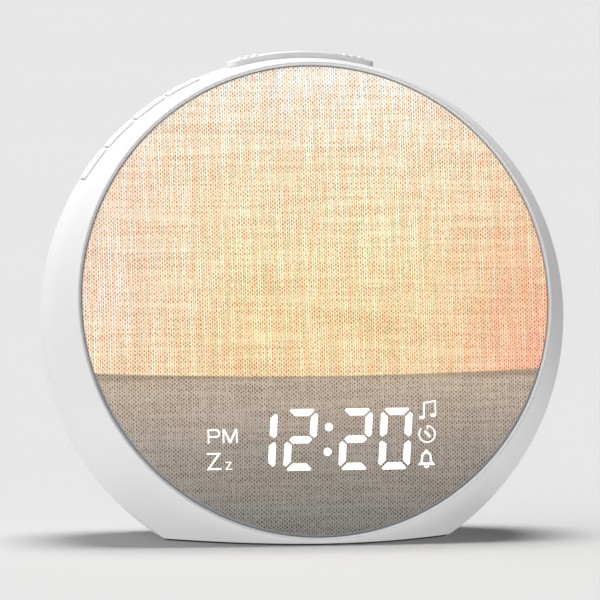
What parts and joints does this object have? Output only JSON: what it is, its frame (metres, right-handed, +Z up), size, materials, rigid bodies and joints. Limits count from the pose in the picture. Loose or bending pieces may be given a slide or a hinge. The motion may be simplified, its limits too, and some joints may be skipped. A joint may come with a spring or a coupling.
{
  "type": "sunrise alarm clock",
  "caption": "Round table clock whose cloth face glows like a sunrise above a digital display, with a snooze bar and keys along its top.",
  "frame": {"origin": "on the table, under the middle of the clock's box", "axes": "+X to the right seen from the front, +Y to the back, +Z up"},
  "size_m": [0.1672, 0.0672, 0.1554],
  "materials": {
    "housing_plastic": "light gray, fine satin grain",
    "key_plastic": "light gray, smooth satin",
    "foot_rubber": "matte black",
    "face_cloth": "plain linen weave, lit from behind",
    "diffuser_plastic": "milky, frosted",
    "foam_tape": "matte black foam",
    "white_plastic": "bright white, matte",
    "white_board": "white solder resist",
    "led_resin": "yellow phosphor under clear resin",
    "black_plastic": "black, fine grain",
    "segment_resin": "milky resin",
    "green_board": "green solder resist",
    "speaker_steel": "black painted steel",
    "cone_paper": "coated paper",
    "ferrite": "dark sintered ferrite",
    "steel": "zinc plated",
    "ribbon_plastic": "gray ribbon insulation",
    "lead_plastic": "red insulation"
  },
  "bodies": {
    "clock": {"front_housing": "housing_plastic", "rear_cover": "housing_plastic", "base_pad": "foot_rubber", "fabric_front": "face_cloth", "front_panel": "diffuser_plastic", "dc_jack": "black_plastic", "battery_door": "housing_plastic", "panel_tape": "foam_tape", "light_frame": "white_plastic", "lamp_board": "white_board", "lamp_leds": "led_resin", "display_housing": "black_plastic", "display_segments": "segment_resin", "display_board": "green_board", "main_board": "green_board", "control_chip": "black_plastic", "speaker_frame": "speaker_steel", "speaker_cone": "cone_paper", "speaker_magnet": "ferrite", "speaker_gasket": "foam_tape", "cell_holder": "black_plastic", "backup_cell": "steel", "door_screw": "steel", "housing_screws": "steel", "frame_screws": "steel", "board_screws": "steel", "key_screws": "steel", "display_ribbon": "ribbon_plastic", "lamp_lead": "lead_plastic", "speaker_lead": "lead_plastic", "key_leads": "ribbon_plastic", "snooze_board": "green_board", "snooze_switches": "black_plastic", "key_board_left": "green_board", "key_board_right": "green_board", "key_switches_left": "black_plastic", "key_switches_right": "black_plastic"},
    "snooze_bar": {"snooze_bar": "key_plastic"},
    "key_left_1": {"key_left_1": "key_plastic"},
    "key_left_2": {"key_left_2": "key_plastic"},
    "key_left_3": {"key_left_3": "key_plastic"},
    "key_left_4": {"key_left_4": "key_plastic"},
    "key_right_1": {"key_right_1": "key_plastic"},
    "key_right_2": {"key_right_2": "key_plastic"},
    "key_right_3": {"key_right_3": "key_plastic"},
    "key_right_4": {"key_right_4": "key_plastic"}
  },
  "joints": [
    {"name": "snooze_press", "type": "slide", "parent": "clock", "child": "snooze_bar", "axis": [0, 0, -1], "range_m": [0, 0.001], "stiffness_N_per_m": 2500, "springref_m": -0.0004},
    {"name": "key_left_1_press", "type": "slide", "parent": "clock", "child": "key_left_1", "axis": [0.6481, 0, -0.7615], "range_m": [0, 0.0005], "stiffness_N_per_m": 3000, "springref_m": -0.0003},
    {"name": "key_left_2_press", "type": "slide", "parent": "clock", "child": "key_left_2", "axis": [0.6481, 0, -0.7615], "range_m": [0, 0.0005], "stiffness_N_per_m": 3000, "springref_m": -0.0003},
    {"name": "key_left_3_press", "type": "slide", "parent": "clock", "child": "key_left_3", "axis": [0.6481, 0, -0.7615], "range_m": [0, 0.0005], "stiffness_N_per_m": 3000, "springref_m": -0.0003},
    {"name": "key_left_4_press", "type": "slide", "parent": "clock", "child": "key_left_4", "axis": [0.6481, 0, -0.7615], "range_m": [0, 0.0005], "stiffness_N_per_m": 3000, "springref_m": -0.0003},
    {"name": "key_right_1_press", "type": "slide", "parent": "clock", "child": "key_right_1", "axis": [-0.6481, 0, -0.7615], "range_m": [0, 0.0005], "stiffness_N_per_m": 3000, "springref_m": -0.0003},
    {"name": "key_right_2_press", "type": "slide", "parent": "clock", "child": "key_right_2", "axis": [-0.6481, 0, -0.7615], "range_m": [0, 0.0005], "stiffness_N_per_m": 3000, "springref_m": -0.0003},
    {"name": "key_right_3_press", "type": "slide", "parent": "clock", "child": "key_right_3", "axis": [-0.6481, 0, -0.7615], "range_m": [0, 0.0005], "stiffness_N_per_m": 3000, "springref_m": -0.0003},
    {"name": "key_right_4_press", "type": "slide", "parent": "clock", "child": "key_right_4", "axis": [-0.6481, 0, -0.7615], "range_m": [0, 0.0005], "stiffness_N_per_m": 3000, "springref_m": -0.0003}
  ]
}
